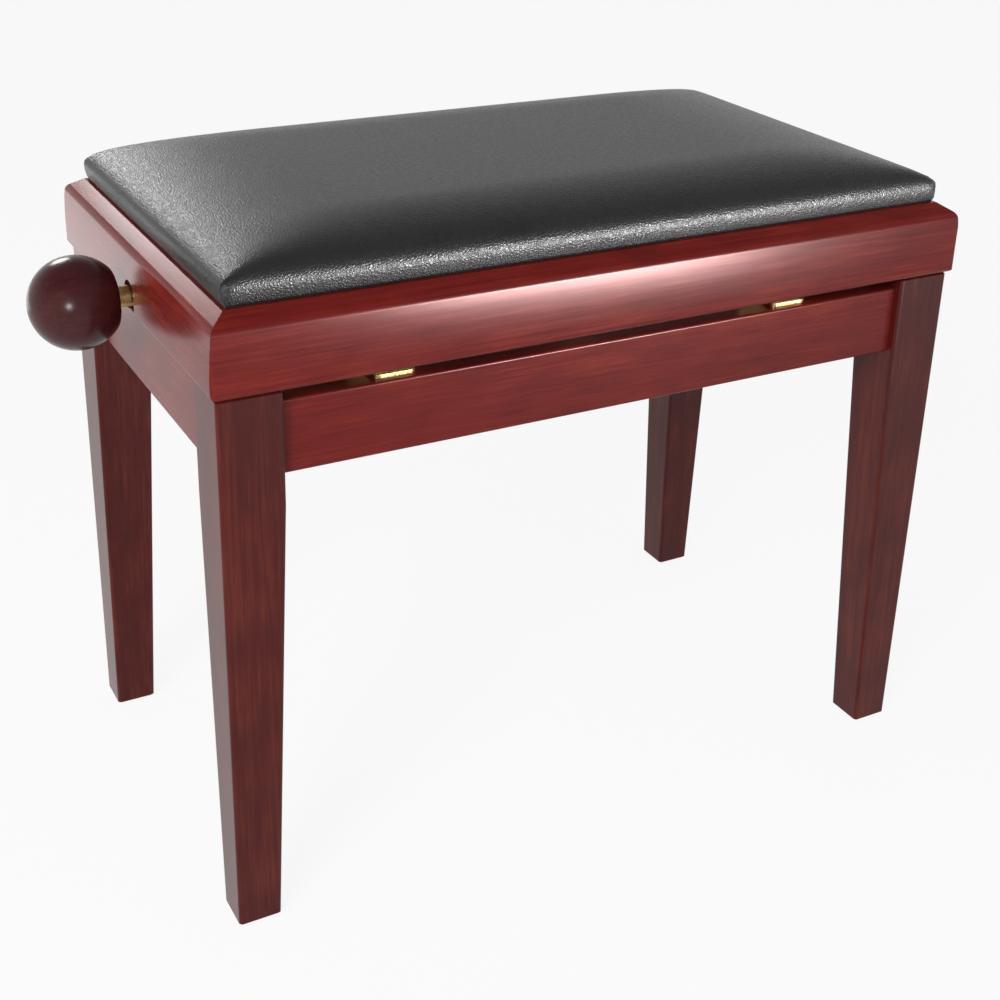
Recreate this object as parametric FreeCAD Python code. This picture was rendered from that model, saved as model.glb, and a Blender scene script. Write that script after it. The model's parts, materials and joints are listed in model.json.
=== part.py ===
import FreeCAD, Part
import math
import os

# Piano bench with a padded seat that is raised and lowered by a knob.
# A wooden seat frame stands on four tapered legs at its lowest setting. Turning the knob turns a
# spindle, which draws a nut bar along, and two pairs of crossed arms then push the seat upwards.
# Sizes are in millimetres. X runs along the bench, the knob is at -X, the front is at -Y, and the
# floor is z = 0. The pieces are modelled about the middle of the seat and moved once, at the end,
# so that the origin lies under the middle of the whole bench with its knob.

V = FreeCAD.Vector
X_AXIS = V(1, 0, 0)
Y_AXIS = V(0, 1, 0)
Z_AXIS = V(0, 0, 1)

# Seat frame of four mitred rails
SEAT_LENGTH = 550.0
SEAT_WIDTH = 315.0
RAIL_THICKNESS = 24.0
RAIL_HEIGHT = 50.0
RAIL_SHOULDER = 43.0
RAIL_BULGE = 0.8
RAIL_LEAN = 1.5
RAIL_SHOULDER_RADIUS = 7.0
RAIL_FOOT_RADIUS = 4.5
RAIL_CORNER_RADIUS = 3.0
NOTCH_CLEARANCE = 3.0
SEAT_BLOCK_SIZE = 42.0
SEAT_BLOCK_HEIGHT = 20.0
SEAT_SCREW_INSET = 15.0

# Padded seat on its board
CUSHION_INSET = 13.0
CUSHION_SIDE = 11.0
CUSHION_CROWN = 37.5
CUSHION_TUCK = 2.5
CUSHION_RUN_X = 124.0
CUSHION_RUN_Y = 62.0
CUSHION_CORNER = 5.0
CORNER_GROWTH = 0.7
CROWN_STEPS = 5
CROWN_DEGREE = 2
COVER_THICKNESS = 1.2
COVER_HEM = 20.0
SOFT_GAP = 0.3
BOARD_THICKNESS = 9.0

# Legs and their glides
LEG_TOP = 377.0
LEG_INSET = 3.3
LEG_SIZE = 41.0
FOOT_SIZE = 29.0
TAPER_DROP = 18.0
LEG_EDGE_RADIUS = 2.5
LEG_TOP_BEVEL = 1.5
FOOT_BEVEL = 1.0
LEG_FLAT = 12.0
GLIDE_HEIGHT = 2.5
GLIDE_RADIUS = 11.0
GLIDE_BEVEL = 1.0
GLIDE_PIN_RADIUS = 1.5
GLIDE_PIN_LENGTH = 14.0

# Aprons, and the bolted blocks that tie them to the legs
APRON_HEIGHT = 47.5
APRON_THICKNESS = 20.0
APRON_SETBACK = 6.5
APRON_DROP = 9.0
APRON_EDGE_RADIUS = 1.5
BLOCK_THICKNESS = 22.0
BLOCK_HEIGHT = 36.0
BLOCK_GAP = 1.0
BOLT_RADIUS = 4.0
BOLT_IN_LEG = 30.0
BOLT_PROUD = 4.0
NUT_ACROSS = 13.0
NUT_HEIGHT = 6.5
WASHER_RADIUS = 10.0
WASHER_THICKNESS = 1.6

# Lift
LIFT_HEIGHT = 90.0
SPINDLE_RISE = 13.0
LOWER_PIVOT_DROP = 23.0
ARM_WIDTH = 25.0
ARM_THICKNESS = 4.0
ARM_GAP = 1.5
SHEET = 2.5
BEND_RADIUS = 3.2
BRACKET_STANDOFF = 8.0
BRACKET_FOOT = 15.0
BRACKET_MARGIN = 3.7
BRACKET_EDGE = 3.0
BRACKET_LAND = 9.0
BRACKET_CORNER = 4.0
HOOK_WIDTH = 28.0
HOOK_REACH = 15.0
UPPER_FLANGE = 24.0
UPPER_CORNER = 10.0
UPPER_SCREW_INSET = 10.0
SLOT_END = 1.0
BAR_SIZE = 22.0
BAR_CHAMFER = 1.0
ROD_RADIUS = 7.0
PIN_RADIUS = 6.0
PIN_PROUD = 3.0
CLIP_RADIUS = 9.0
CLIP_THICKNESS = 1.2
SPACER_RADIUS = 10.0
RIVET_RADIUS = 5.0
RIVET_HEAD_RADIUS = 8.5
RIVET_HEAD = 2.5

# Spindle and knob
SPINDLE_RADIUS = 7.0
THREAD_PITCH = 2.0
THREAD_RUNOUT = 8.0
STOP_NUT_ACROSS = 22.0
STOP_NUT_HEIGHT = 8.0
BUSH_RADIUS = 9.0
BUSH_FLANGE_RADIUS = 11.0
BUSH_FLANGE = 1.5
COLLAR_RADIUS = 13.0
COLLAR_LENGTH = 10.0
COLLAR_PIN_RADIUS = 2.0
KNOB_RADIUS = 30.0
KNOB_FLAT = 24.0
KNOB_EDGE_RADIUS = 7.0
KNOB_GAP = 9.5
KNOB_INSERT_RADIUS = 8.0
KNOB_INSERT_LENGTH = 28.0
SPIGOT_RADIUS = 5.0

# Wood screws
SCREW_RADIUS = 2.0
SCREW_HEAD_RADIUS = 4.0
SCREW_HEAD = 2.2
APRON_SCREW_LENGTH = 14.0
BOARD_SCREW_LENGTH = 8.0

# Clearances: a tight fit, a running fit on a radius, and a running gap between flat sides
FIT = 0.05
RUN = 0.1
SIDE_GAP = 0.3
PLAY = 0.3

# Heights
rail_top = LEG_TOP + RAIL_HEIGHT
board_bottom = rail_top + COVER_THICKNESS
board_top = board_bottom + BOARD_THICKNESS
apron_top = LEG_TOP - APRON_DROP
apron_bottom = apron_top - APRON_HEIGHT
taper_top = apron_bottom - TAPER_DROP
block_bottom = apron_bottom + (APRON_HEIGHT - BLOCK_HEIGHT) / 2
bolt_z = block_bottom + BLOCK_HEIGHT / 2
spindle_z = LEG_TOP + SPINDLE_RISE
lower_pivot_z = apron_top - LOWER_PIVOT_DROP

# Places of the legs, aprons and blocks, from the outer corner of a leg inwards
leg_x = SEAT_LENGTH / 2 - LEG_INSET
leg_y = SEAT_WIDTH / 2 - LEG_INSET
apron_inside = APRON_SETBACK + APRON_THICKNESS
apron_inner_y = leg_y - apron_inside
leg_flat_sum = 2 * LEG_SIZE - LEG_FLAT / math.sqrt(2)
block_near_sum = leg_flat_sum + BLOCK_GAP * math.sqrt(2)
block_far_sum = block_near_sum + BLOCK_THICKNESS * math.sqrt(2)
block_end_x = leg_x - (block_far_sum - apron_inside)

# The lift's end pivots lie as far apart as the corner blocks allow
bracket_end_x = block_end_x - BRACKET_MARGIN
slide_low_x = bracket_end_x - BRACKET_FOOT - SHEET - BRACKET_LAND - SLOT_END - PIN_RADIUS
pivot_x = -slide_low_x
pivot_rise = spindle_z - lower_pivot_z
arm_length = math.hypot(slide_low_x - pivot_x, pivot_rise)

# The arms turn at a steady rate with the lift, so their sliding ends wander a little up and down.
# Half of that wander is taken below the slots' middle and half above it.
low_slope = math.asin(pivot_rise / arm_length)
high_slope = math.asin((pivot_rise + LIFT_HEIGHT) / arm_length)
middle_slope = (low_slope + high_slope) / 2
wander = arm_length * (math.sin(middle_slope) - (math.sin(low_slope) + math.sin(high_slope)) / 2) / 2
low_angle = math.asin((pivot_rise - wander) / arm_length)
high_angle = math.asin((pivot_rise + LIFT_HEIGHT - wander) / arm_length)
arm_swing = high_angle - low_angle
slide_high_x = pivot_x + arm_length * math.cos(high_angle)
slide_low_x = pivot_x + arm_length * math.cos(low_angle)
slide_travel = slide_low_x - slide_high_x
spindle_turns = slide_travel / THREAD_PITCH
loose = wander + PLAY
nut_z = lower_pivot_z + arm_length * math.sin(low_angle)
slide_rod_z = spindle_z - arm_length * math.sin(low_angle)
centre_x = pivot_x + arm_length / 2 * math.cos(low_angle)
outer_centre_z = lower_pivot_z + arm_length / 2 * math.sin(low_angle)
inner_centre_z = spindle_z - arm_length / 2 * math.sin(low_angle)

# Layers of the lift, as distances from the bench's middle line towards the front or the back
web_outer = apron_inner_y - BRACKET_STANDOFF
web_inner = web_outer - SHEET
outer_arm_out = web_inner - SIDE_GAP
outer_arm_in = outer_arm_out - ARM_THICKNESS
inner_arm_out = outer_arm_in - ARM_GAP
inner_arm_in = inner_arm_out - ARM_THICKNESS
pin_end = web_outer + PIN_PROUD

# Places along the spindle
rail_outer_x = -SEAT_LENGTH / 2
knob_flat_x = rail_outer_x - KNOB_GAP
knob_x = knob_flat_x - KNOB_FLAT
knob_outer_x = knob_x - KNOB_RADIUS
thread_core = SPINDLE_RADIUS - THREAD_PITCH / 2
nut_bore = thread_core + loose + RUN
thread_start = slide_high_x - BAR_SIZE / 2 - THREAD_RUNOUT
stop_nut_x = slide_low_x + BAR_SIZE / 2 + PLAY
spindle_end = stop_nut_x + STOP_NUT_HEIGHT + THREAD_RUNOUT
bush_flange_x = pivot_x - BAR_SIZE / 2 - BUSH_FLANGE
thrust_collar_x = bush_flange_x - SIDE_GAP - COLLAR_LENGTH
retaining_collar_x = pivot_x + BAR_SIZE / 2 + SIDE_GAP
origin_shift = V(-(SEAT_LENGTH / 2 + knob_outer_x) / 2, 0, 0)

CORNERS = {"front_left": (-1, -1), "front_right": (1, -1), "back_left": (-1, 1), "back_right": (1, 1)}
SIDES = {"front": -1, "back": 1}


def box(x_range, y_range, z_range):
    lengths = [high - low for low, high in (x_range, y_range, z_range)]
    return Part.makeBox(*lengths, V(x_range[0], y_range[0], z_range[0]))


def rod(start, direction, radius, length):
    return Part.makeCylinder(radius, length, start, direction)


def ring(start, direction, outer, inner, length):
    return rod(start, direction, outer, length).cut(rod(start, direction, inner, length))


def prism(points, travel):
    return Part.Face(Part.makePolygon(points + points[:1])).extrude(travel)


def hexagon(start, direction, across, length):
    """A hexagonal prism that stands on start."""
    radius = across / math.sqrt(3)
    turns = [math.radians(60 * step) for step in range(6)]
    solid = prism([V(radius * math.cos(t), radius * math.sin(t), 0) for t in turns], V(0, 0, length))
    solid.Placement = FreeCAD.Placement(start, FreeCAD.Rotation(Z_AXIS, direction))
    return solid


def stadium(start, end, radius, y_range):
    """A flat bar with round ends, between two points of the XZ plane."""
    along = (end - start).normalize()
    across = Y_AXIS.cross(along) * radius
    edges = [
        Part.LineSegment(start + across, end + across).toShape(),
        Part.Arc(end + across, end + along * radius, end - across).toShape(),
        Part.LineSegment(end - across, start - across).toShape(),
        Part.Arc(start - across, start - along * radius, start + across).toShape(),
    ]
    bar = Part.Face(Part.Wire(edges)).extrude(V(0, y_range[1] - y_range[0], 0))
    bar.translate(V(0, y_range[0], 0))
    return bar


def round_rectangle(centre, length, width, radius):
    """A closed level outline of four lines and four quarter arcs."""
    half_x, half_y = length / 2, width / 2
    reach = radius * (1 - math.sqrt(0.5))
    arcs = []
    for sign_x, sign_y in ((1, 1), (-1, 1), (-1, -1), (1, -1)):
        on_x = centre + V(sign_x * half_x, sign_y * (half_y - radius), 0)
        on_y = centre + V(sign_x * (half_x - radius), sign_y * half_y, 0)
        crest = centre + V(sign_x * (half_x - reach), sign_y * (half_y - reach), 0)
        ends = (on_x, on_y) if sign_x * sign_y > 0 else (on_y, on_x)
        arcs.append((ends[0], crest, ends[1]))
    edges = []
    for arc, following in zip(arcs, arcs[1:] + arcs[:1]):
        edges.append(Part.Arc(*arc).toShape())
        edges.append(Part.LineSegment(arc[2], following[0]).toShape())
    return Part.Wire(edges)


def rounded(shape, radius, chosen):
    """Fillets the edges that the test picks."""
    return shape.makeFillet(radius, [edge for edge in shape.Edges if chosen(edge)])


def runs_along(edge, axis):
    """True for a straight edge parallel to the axis."""
    if not isinstance(edge.Curve, (Part.Line, Part.LineSegment)):
        return False
    return abs(abs(edge.tangentAt(edge.FirstParameter).dot(axis)) - 1) < 1e-6


def middle(edge):
    return edge.BoundBox.Center


def lies_at(edge, y, z):
    """True for an edge along X at one place of the YZ plane."""
    point = middle(edge)
    return runs_along(edge, X_AXIS) and abs(point.y - y) < FIT and abs(point.z - z) < FIT


def drilled(shape, cutters):
    for cutter in cutters:
        shape = shape.cut(cutter)
    return shape


def at_corner(shape, corner):
    """Turns a piece modelled at the front left corner into the one for another corner."""
    sign_x, sign_y = CORNERS[corner]
    if sign_x > 0:
        shape = shape.mirror(V(0, 0, 0), X_AXIS)
    if sign_y > 0:
        shape = shape.mirror(V(0, 0, 0), Y_AXIS)
    return shape


def at_side(shape, side):
    """Turns a piece modelled at the front into the one for the named side."""
    return shape.mirror(V(0, 0, 0), Y_AXIS) if SIDES[side] > 0 else shape


def both_sides(shape):
    return Part.makeCompound([at_side(shape, side) for side in SIDES])


def all_corners(shape):
    return Part.makeCompound([at_corner(shape, corner) for corner in CORNERS])


def wood_screw(seat, direction, length):
    """A round-headed screw whose head rests on seat and whose shank runs along direction."""
    head = rod(seat - direction * SCREW_HEAD, direction, SCREW_HEAD_RADIUS, SCREW_HEAD)
    return head.fuse(rod(seat, direction, SCREW_RADIUS, length))


def screw_hole(seat, direction, length):
    return rod(seat - direction * SHEET, direction, SCREW_RADIUS + FIT, length + SHEET + FIT)


# Base: legs, glides, aprons, corner blocks and their bolts


def corner_point(inward_x, inward_y, z):
    """A point of the front left corner, measured inwards from the leg's outer faces."""
    return V(-leg_x + inward_x, -leg_y + inward_y, z)


OUTWARD = V(-1, -1, 0).normalize()
bolt_seat = corner_point(leg_flat_sum / 2, leg_flat_sum / 2, bolt_z)
block_back = corner_point(block_far_sum / 2, block_far_sum / 2, bolt_z)
foot_centre = corner_point(FOOT_SIZE / 2, FOOT_SIZE / 2, GLIDE_HEIGHT)


def leg():
    """Square above, tapered on its two inner faces below, with a flat for the bolt inside."""
    levels = (
        (FOOT_SIZE, FOOT_BEVEL, GLIDE_HEIGHT), (FOOT_SIZE, 0, GLIDE_HEIGHT + FOOT_BEVEL),
        (LEG_SIZE, 0, taper_top), (LEG_SIZE, 0, LEG_TOP - LEG_TOP_BEVEL), (LEG_SIZE, LEG_TOP_BEVEL, LEG_TOP),
    )
    sections = []
    for size, bevel, z in levels:
        across = size - 2 * bevel
        sections.append(round_rectangle(corner_point(size / 2, size / 2, z), across, across, LEG_EDGE_RADIUS))
    body = Part.makeLoft(sections, True, True)
    spare = LEG_FLAT
    near = leg_flat_sum - LEG_SIZE - spare
    far = LEG_SIZE + spare
    flat_base = [(near, far), (far, near), (far, far)]
    flat = prism([corner_point(a, b, apron_bottom) for a, b in flat_base], V(0, 0, LEG_TOP))
    bolt_hole = rod(bolt_seat, OUTWARD, BOLT_RADIUS + FIT, BOLT_IN_LEG + FIT)
    nail_hole = rod(foot_centre, Z_AXIS, GLIDE_PIN_RADIUS + FIT, GLIDE_PIN_LENGTH + FIT)
    return drilled(body, [flat, bolt_hole, nail_hole])


def glide():
    floor_centre = V(foot_centre.x, foot_centre.y, 0)
    sole = Part.makeCone(GLIDE_RADIUS - GLIDE_BEVEL, GLIDE_RADIUS, GLIDE_BEVEL, floor_centre, Z_AXIS)
    disc = rod(floor_centre + Z_AXIS * GLIDE_BEVEL, Z_AXIS, GLIDE_RADIUS, GLIDE_HEIGHT - GLIDE_BEVEL)
    pin = rod(foot_centre, Z_AXIS, GLIDE_PIN_RADIUS, GLIDE_PIN_LENGTH)
    return sole.fuse([disc, pin])


def corner_block():
    """A wedge across the corner, glued to the two aprons and drilled for the leg's bolt."""
    near = block_near_sum - apron_inside
    far = block_far_sum - apron_inside
    outline = [(apron_inside, near), (apron_inside, far), (far, apron_inside), (near, apron_inside)]
    wedge = prism([corner_point(a, b, block_bottom) for a, b in outline], V(0, 0, BLOCK_HEIGHT))
    return wedge.cut(rod(block_back, OUTWARD, BOLT_RADIUS + PLAY, 2 * BLOCK_THICKNESS))


def leg_bolt():
    reach = (block_back - bolt_seat).Length + WASHER_THICKNESS + NUT_HEIGHT + BOLT_PROUD
    return rod(bolt_seat + OUTWARD * BOLT_IN_LEG, -OUTWARD, BOLT_RADIUS, BOLT_IN_LEG + reach)


def bolt_nut_and_washer():
    washer = ring(block_back, -OUTWARD, WASHER_RADIUS, BOLT_RADIUS + FIT, WASHER_THICKNESS)
    nut_seat = block_back - OUTWARD * WASHER_THICKNESS
    nut = hexagon(nut_seat, -OUTWARD, NUT_ACROSS, NUT_HEIGHT)
    return [washer, nut.cut(rod(nut_seat, -OUTWARD, BOLT_RADIUS + FIT, NUT_HEIGHT))]


def long_apron():
    """The front apron, with pilot holes for the bracket screws."""
    half = leg_x - LEG_SIZE
    board = box((-half, half), (-leg_y + APRON_SETBACK, -apron_inner_y), (apron_bottom, apron_top))
    board = rounded(board, APRON_EDGE_RADIUS, lambda edge: runs_along(edge, X_AXIS))
    holes = [screw_hole(seat, -Y_AXIS, APRON_SCREW_LENGTH) for seat in lower_screw_seats()]
    return drilled(board, holes)


def short_apron():
    """The left apron."""
    half = leg_y - LEG_SIZE
    board = box((-leg_x + APRON_SETBACK, -leg_x + apron_inside), (-half, half), (apron_bottom, apron_top))
    return rounded(board, APRON_EDGE_RADIUS, lambda edge: runs_along(edge, Y_AXIS))


# Lower brackets: pressed plates that stand off the long aprons

lower_bracket_z = (2 * lower_pivot_z - apron_top + BRACKET_EDGE, apron_top - BRACKET_EDGE)
slot_x = (slide_high_x - PIN_RADIUS - SLOT_END, slide_low_x + PIN_RADIUS + SLOT_END)
slide_web_x = (slot_x[0] - BRACKET_LAND, slot_x[1] + BRACKET_LAND)
pivot_web_half = BRACKET_LAND + PIN_RADIUS + SLOT_END
pivot_web_x = (pivot_x - pivot_web_half, pivot_x + pivot_web_half)
LOWER_WEBS = (pivot_web_x, slide_web_x)


def lower_screw_seats(webs=LOWER_WEBS):
    """Where screw heads rest on the feet of the front brackets."""
    y = -apron_inner_y + SHEET
    outward = SHEET + BRACKET_FOOT / 2
    return [V(x, y, lower_pivot_z) for left, right in webs for x in (left - outward, right + outward)]


def lower_bracket(web):
    """A hat-shaped plate: two feet on the apron and a web that carries the pin."""
    left, right = web[0] - SHEET, web[1] + SHEET
    rise = BRACKET_STANDOFF
    outline = [
        (left - BRACKET_FOOT, 0), (left - BRACKET_FOOT, SHEET), (left, SHEET), (left, rise + SHEET),
        (right, rise + SHEET), (right, SHEET), (right + BRACKET_FOOT, SHEET), (right + BRACKET_FOOT, 0),
        (web[1], 0), (web[1], rise), (web[0], rise), (web[0], 0),
    ]
    z_low, z_high = lower_bracket_z
    plate = prism([V(x, -apron_inner_y + h, z_low) for x, h in outline], V(0, 0, z_high - z_low))

    def is_bend(edge, reach):
        point = middle(edge)
        on_end = min(abs(point.x - reach[0]), abs(point.x - reach[1])) < FIT
        return runs_along(edge, Z_AXIS) and on_end

    plate = rounded(
        plate, BEND_RADIUS, lambda edge: is_bend(edge, (left, right)) and middle(edge).y > -web_outer)
    plate = rounded(
        plate, BEND_RADIUS - SHEET, lambda edge: is_bend(edge, web) and middle(edge).y > -apron_inner_y + FIT)
    ends = (left - BRACKET_FOOT, right + BRACKET_FOOT)
    plate = rounded(
        plate, BRACKET_CORNER,
        lambda edge: runs_along(edge, Y_AXIS) and min(abs(middle(edge).x - end) for end in ends) < FIT)
    holes = [screw_hole(seat, -Y_AXIS, APRON_SCREW_LENGTH) for seat in lower_screw_seats([web])]
    return drilled(plate.fuse(apron_hook(web)).removeSplitter(), holes)


def apron_hook(web):
    """A tongue that rises from the middle of a web and is bent outwards over the apron's top."""
    start = (web[0] + web[1] - HOOK_WIDTH) / 2
    top = apron_top + SHEET
    tip = -apron_inner_y - HOOK_REACH
    outline = [
        (-web_inner, lower_bracket_z[1]), (-web_inner, top), (tip, top),
        (tip, apron_top), (-web_outer, apron_top), (-web_outer, lower_bracket_z[1]),
    ]
    hook = prism([V(start, y, z) for y, z in outline], V(HOOK_WIDTH, 0, 0))
    hook = rounded(hook, BEND_RADIUS, lambda edge: lies_at(edge, -web_inner, top))
    hook = rounded(hook, BEND_RADIUS - SHEET, lambda edge: lies_at(edge, -web_outer, apron_top))
    return rounded(
        hook, BRACKET_CORNER, lambda edge: runs_along(edge, Z_AXIS) and abs(middle(edge).y - tip) < FIT)


def pin_hole(x, z, radius):
    """A hole through the front layers of the lift."""
    return rod(V(x, -apron_inner_y, z), Y_AXIS, radius, apron_inner_y)


def pin_slot(z):
    start = V(slide_high_x - SLOT_END, 0, z)
    end = V(slide_low_x + SLOT_END, 0, z)
    return stadium(start, end, PIN_RADIUS + loose, (-apron_inner_y, -inner_arm_in))


def lower_pivot_bracket():
    return lower_bracket(pivot_web_x).cut(pin_hole(pivot_x, lower_pivot_z, PIN_RADIUS + RUN))


def lower_slide_bracket():
    return lower_bracket(slide_web_x).cut(pin_slot(lower_pivot_z))


# Seat: rails, blocks, board, foam and cover

mitre_reach = RAIL_THICKNESS + RAIL_HEIGHT
rail_foot_set = (4 * RAIL_BULGE - RAIL_LEAN) ** 2 / (16 * RAIL_BULGE)
rail_middle_set = rail_foot_set + RAIL_LEAN / 2 - RAIL_BULGE
rail_shoulder_set = rail_foot_set + RAIL_LEAN


def seat_rail(length, outer_y):
    """A rail along X, mitred at both ends. Its bulging outer face just touches outer_y, on the front."""
    def at(u, z):
        return V(-length / 2, outer_y + u, LEG_TOP + z)
    foot = at(rail_foot_set, 0)
    shoulder = at(rail_shoulder_set, RAIL_SHOULDER)
    face = Part.Arc(foot, at(rail_middle_set, RAIL_SHOULDER / 2), shoulder).toShape()
    corners = [
        shoulder, at(CUSHION_INSET, RAIL_HEIGHT), at(RAIL_THICKNESS, RAIL_HEIGHT), at(RAIL_THICKNESS, 0), foot,
    ]
    lines = [Part.LineSegment(a, b).toShape() for a, b in zip(corners, corners[1:])]
    rail = Part.Face(Part.Wire([face] + lines)).extrude(V(length, 0, 0))
    rail = rounded(rail, RAIL_SHOULDER_RADIUS, lambda edge: lies_at(edge, shoulder.y, shoulder.z))
    rail = rounded(rail, RAIL_FOOT_RADIUS, lambda edge: lies_at(edge, foot.y, foot.z))
    for end in (-1, 1):
        tip = [(1, -1), (-1, 1), (1, 1)]
        waste = [
            V(end * (length / 2 + a * mitre_reach), outer_y + b * mitre_reach, LEG_TOP - RAIL_HEIGHT)
            for a, b in tip
        ]
        rail = rail.cut(prism(waste, V(0, 0, 3 * RAIL_HEIGHT)))
        rail = rail.cut(rail_corner_waste(end * length / 2, outer_y, end))
    return rail


def rail_corner_waste(x, y, end):
    """What is sanded off the frame's upright outer edge at a front corner."""
    radius = RAIL_CORNER_RADIUS
    centre = V(x - end * radius, y + radius, LEG_TOP)
    square = box(sorted((x + end * radius, centre.x)), (y - radius, centre.y), (LEG_TOP, rail_top))
    return square.cut(rod(centre, Z_AXIS, radius, RAIL_HEIGHT))


def long_rail():
    return seat_rail(SEAT_LENGTH, -SEAT_WIDTH / 2)


def short_rail():
    """The rail at the knob's end before its notch is cut."""
    rail = seat_rail(SEAT_WIDTH, -SEAT_LENGTH / 2)
    return rail.rotate(V(0, 0, 0), Z_AXIS, -90)


def spindle_notch():
    """An arched notch for the spindle, open below."""
    start = V(0, 0, spindle_z)
    end = V(0, 0, LEG_TOP - RAIL_HEIGHT)
    notch = stadium(start, end, SPINDLE_RADIUS + NOTCH_CLEARANCE, (0, 2 * RAIL_THICKNESS))
    notch.rotate(V(0, 0, 0), Z_AXIS, 90)
    notch.translate(V(rail_outer_x + 1.5 * RAIL_THICKNESS, 0, 0))
    return notch


def seat_block():
    """A triangular block in the seat frame's front left corner, drilled for a screw into the board."""
    x0 = -SEAT_LENGTH / 2 + RAIL_THICKNESS
    y0 = -SEAT_WIDTH / 2 + RAIL_THICKNESS
    z0 = rail_top - SEAT_BLOCK_HEIGHT
    corner = [V(x0, y0, z0), V(x0 + SEAT_BLOCK_SIZE, y0, z0), V(x0, y0 + SEAT_BLOCK_SIZE, z0)]
    return prism(corner, V(0, 0, SEAT_BLOCK_HEIGHT)).cut(screw_hole(*seat_screw_place()))


def seat_screw_place():
    """Head seat, direction and length of the screw at the front left corner."""
    inward = RAIL_THICKNESS + SEAT_SCREW_INSET
    seat = V(-SEAT_LENGTH / 2 + inward, -SEAT_WIDTH / 2 + inward, rail_top - SEAT_BLOCK_HEIGHT)
    return seat, Z_AXIS, SEAT_BLOCK_HEIGHT + COVER_THICKNESS + BOARD_SCREW_LENGTH


def crowned_pad(shrink, bottom, side_inset):
    """A domed pad: sides up to the shoulder, then a quarter ellipse in to the flat of the crown."""
    length = SEAT_LENGTH - 2 * (CUSHION_INSET + shrink)
    width = SEAT_WIDTH - 2 * (CUSHION_INSET + shrink)
    shoulder = rail_top + CUSHION_SIDE
    crown_rise = CUSHION_CROWN - CUSHION_SIDE - shrink

    def outline(inset_x, inset_y, z):
        corner = CUSHION_CORNER + CORNER_GROWTH * (inset_x + inset_y) / 2
        return round_rectangle(V(0, 0, z), length - 2 * inset_x, width - 2 * inset_y, corner)

    levels = []
    for step in range(CROWN_STEPS + 1):
        turn = step / CROWN_STEPS * math.pi / 2
        inward = 1 - math.cos(turn)
        z = shoulder + crown_rise * math.sin(turn)
        levels.append(outline(CUSHION_RUN_X * inward, CUSHION_RUN_Y * inward, z))
    side = Part.makeLoft([outline(side_inset, side_inset, bottom), outline(0, 0, shoulder)], True, True)
    crown = Part.makeLoft(levels, True, False, False, CROWN_DEGREE)
    return side.fuse(crown).removeSplitter()


def seat_cover():
    """The leatherette skin: over the foam, down the board's edge and under it as a hem."""
    inside = crowned_pad(COVER_THICKNESS, board_bottom, CUSHION_TUCK)
    half_x = SEAT_LENGTH / 2 - CUSHION_INSET - COVER_HEM
    half_y = SEAT_WIDTH / 2 - CUSHION_INSET - COVER_HEM
    opening = box((-half_x, half_x), (-half_y, half_y), (rail_top - COVER_THICKNESS, board_top))
    return drilled(crowned_pad(0, rail_top, CUSHION_TUCK), [inside, opening])


def seat_foam():
    return crowned_pad(COVER_THICKNESS + SOFT_GAP, board_top, 0)


def seat_board():
    inset = CUSHION_INSET + CUSHION_TUCK + COVER_THICKNESS + SOFT_GAP
    middle_point = V(0, 0, board_bottom)
    corner = CUSHION_CORNER + CORNER_GROWTH * CUSHION_TUCK
    outline = round_rectangle(middle_point, SEAT_LENGTH - 2 * inset, SEAT_WIDTH - 2 * inset, corner)
    board = Part.Face(outline).extrude(V(0, 0, BOARD_THICKNESS))
    holes = [at_corner(screw_hole(*seat_screw_place()), corner) for corner in CORNERS]
    for seat in upper_screw_seats():
        holes += [at_side(screw_hole(seat, Z_AXIS, BOARD_SCREW_LENGTH), side) for side in SIDES]
    return drilled(board, holes)


# Upper brackets: angles that hang from the board

upper_pivot_x = (pivot_x - pivot_web_half - BRACKET_LAND, pivot_x + pivot_web_half + BRACKET_LAND)
UPPER_WEBS = (upper_pivot_x, slide_web_x)


def upper_screw_seats(webs=UPPER_WEBS):
    """Where screw heads rest on the flanges of the front brackets."""
    y = -web_inner + (UPPER_FLANGE - SHEET) / 2
    z = board_bottom - SHEET
    return [V(x, y, z) for left, right in webs for x in (left + UPPER_SCREW_INSET, right - UPPER_SCREW_INSET)]


def upper_bracket(web):
    """An angle with its flange on the board and its web hanging down to the pin."""
    bottom = spindle_z - PIN_RADIUS - loose - BRACKET_LAND
    outline = [
        (-web_outer, bottom), (-web_inner, bottom), (-web_inner, board_bottom - SHEET),
        (-web_outer + UPPER_FLANGE, board_bottom - SHEET), (-web_outer + UPPER_FLANGE, board_bottom),
        (-web_outer, board_bottom),
    ]
    angle = prism([V(web[0], y, z) for y, z in outline], V(web[1] - web[0], 0, 0))
    angle = rounded(angle, BEND_RADIUS, lambda edge: lies_at(edge, -web_outer, board_bottom))
    angle = rounded(angle, BEND_RADIUS - SHEET, lambda edge: lies_at(edge, -web_inner, board_bottom - SHEET))
    angle = rounded(
        angle, UPPER_CORNER, lambda edge: runs_along(edge, Y_AXIS) and abs(middle(edge).z - bottom) < FIT)
    return drilled(angle, [screw_hole(seat, Z_AXIS, BOARD_SCREW_LENGTH) for seat in upper_screw_seats([web])])


def upper_pivot_bracket():
    return upper_bracket(upper_pivot_x).cut(pin_hole(pivot_x, spindle_z, PIN_RADIUS + FIT))


def upper_slide_bracket():
    return upper_bracket(slide_web_x).cut(pin_slot(spindle_z))


# Arms, cross rods and cross bars


def arm(start, end, y_out, start_hole, middle_point, middle_hole, end_hole):
    """A flat bar at the front between two pivots, with holes at its ends and its middle."""
    bar = stadium(start, end, ARM_WIDTH / 2, (-y_out, -y_out + ARM_THICKNESS))
    places = ((start, start_hole), (middle_point, middle_hole), (end, end_hole))
    return drilled(bar, [pin_hole(point.x, point.z, radius) for point, radius in places])


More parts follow.
